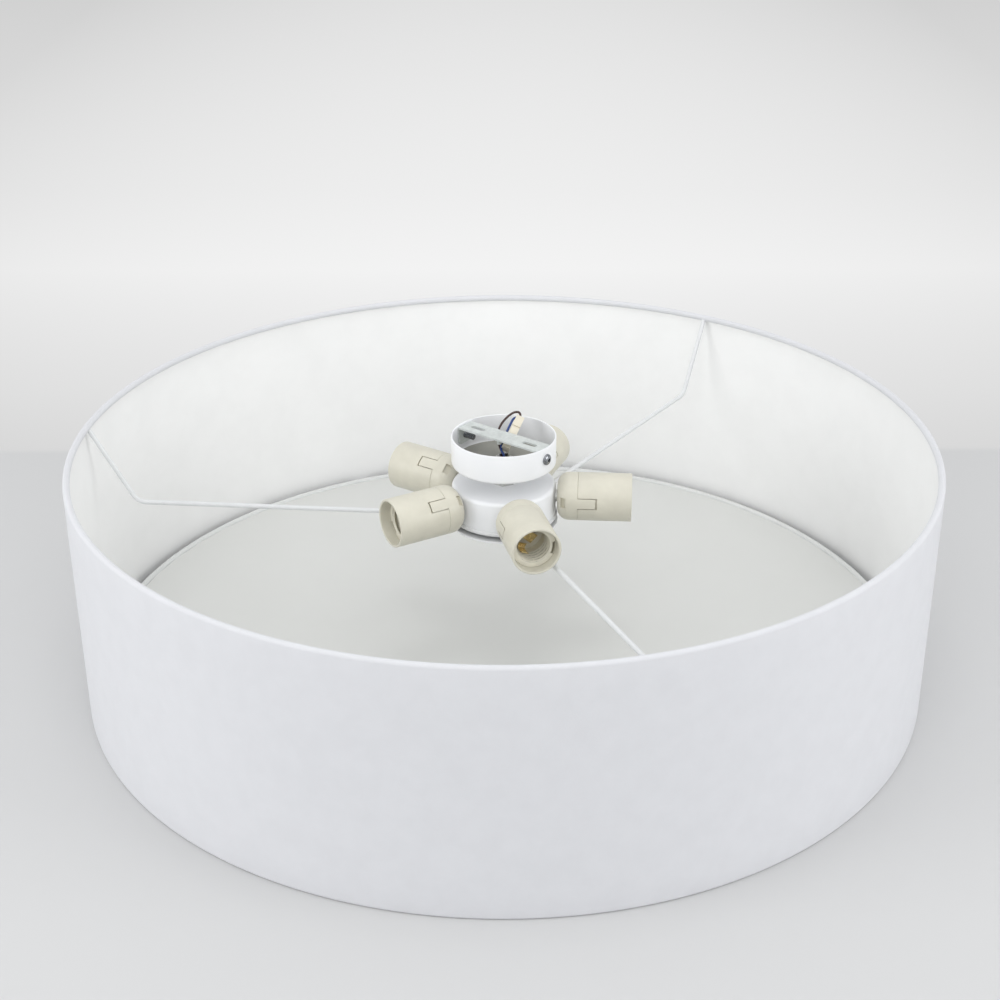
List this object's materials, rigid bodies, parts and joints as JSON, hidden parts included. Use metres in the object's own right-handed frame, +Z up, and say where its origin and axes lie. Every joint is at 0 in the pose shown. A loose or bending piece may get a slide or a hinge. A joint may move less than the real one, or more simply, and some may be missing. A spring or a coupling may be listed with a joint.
{
  "type": "flush mount ceiling light",
  "caption": "Flush mount ceiling light: a fabric drum shade on a wire spider, a two-cup hub with radial lampholders and a ceiling strap, and a loose lift-out diffuser disc.",
  "frame": {"origin": "the floor under the middle of the shade, which stands on its lower edge", "axes": "+Z up towards the ceiling, +X along the ceiling strap"},
  "size_m": [0.6999, 0.7, 0.2159],
  "materials": {
    "shade_fabric": "white woven cloth on a white plastic backing",
    "spider_paint": "white gloss powder coat",
    "cup_paint": "white gloss powder coat",
    "zinc_steel": "zinc plated",
    "strap_steel": "zinc plated sheet",
    "screw_chrome": "dark bright plating",
    "brass": "bare",
    "holder_plastic": "cream thermoplastic, satin",
    "holder_insert": "heat resistant moulding",
    "diffuser_sheet": "translucent satin laminate",
    "diffuser_edge": "cloth wrapped round a wire ring",
    "terminal_plastic": "cream thermoplastic",
    "lead_brown": "soft insulation",
    "lead_blue": "soft insulation",
    "lead_white": "soft insulation"
  },
  "bodies": {
    "fixture": {"blue_lead": "lead_blue", "bottom_ring": "spider_paint", "brown_lead": "lead_brown", "cap_nut": "cup_paint", "ceiling_cup": "cup_paint", "center_contacts": "brass", "center_nipple": "zinc_steel", "center_ring": "spider_paint", "diffuser_tabs": "spider_paint", "earth_nut": "brass", "earth_screw": "brass", "holder_cap_1": "holder_plastic", "holder_cap_2": "holder_plastic", "holder_cap_3": "holder_plastic", "holder_cap_4": "holder_plastic", "holder_cap_5": "holder_plastic", "holder_cup": "cup_paint", "holder_harness": "lead_white", "holder_insert_1": "holder_insert", "holder_insert_2": "holder_insert", "holder_insert_3": "holder_insert", "holder_insert_4": "holder_insert", "holder_insert_5": "holder_insert", "holder_nipples": "zinc_steel", "holder_skirt_1": "holder_plastic", "holder_skirt_2": "holder_plastic", "holder_skirt_3": "holder_plastic", "holder_skirt_4": "holder_plastic", "holder_skirt_5": "holder_plastic", "hub_spacer": "zinc_steel", "lock_nuts": "zinc_steel", "mounting_strap": "strap_steel", "shade": "shade_fabric", "shade_retainer": "cup_paint", "side_contacts": "brass", "side_screws": "screw_chrome", "spider_arms": "spider_paint", "terminal_block": "terminal_plastic", "terminal_screws": "brass", "top_ring": "spider_paint"},
    "diffuser": {"diffuser_disc": "diffuser_sheet", "diffuser_ring": "diffuser_edge"}
  },
  "joints": [
    {"name": "diffuser_lift", "type": "slide", "parent": "fixture", "child": "diffuser", "axis": [0, 0, 1], "range_m": [0, 0.1]}
  ]
}
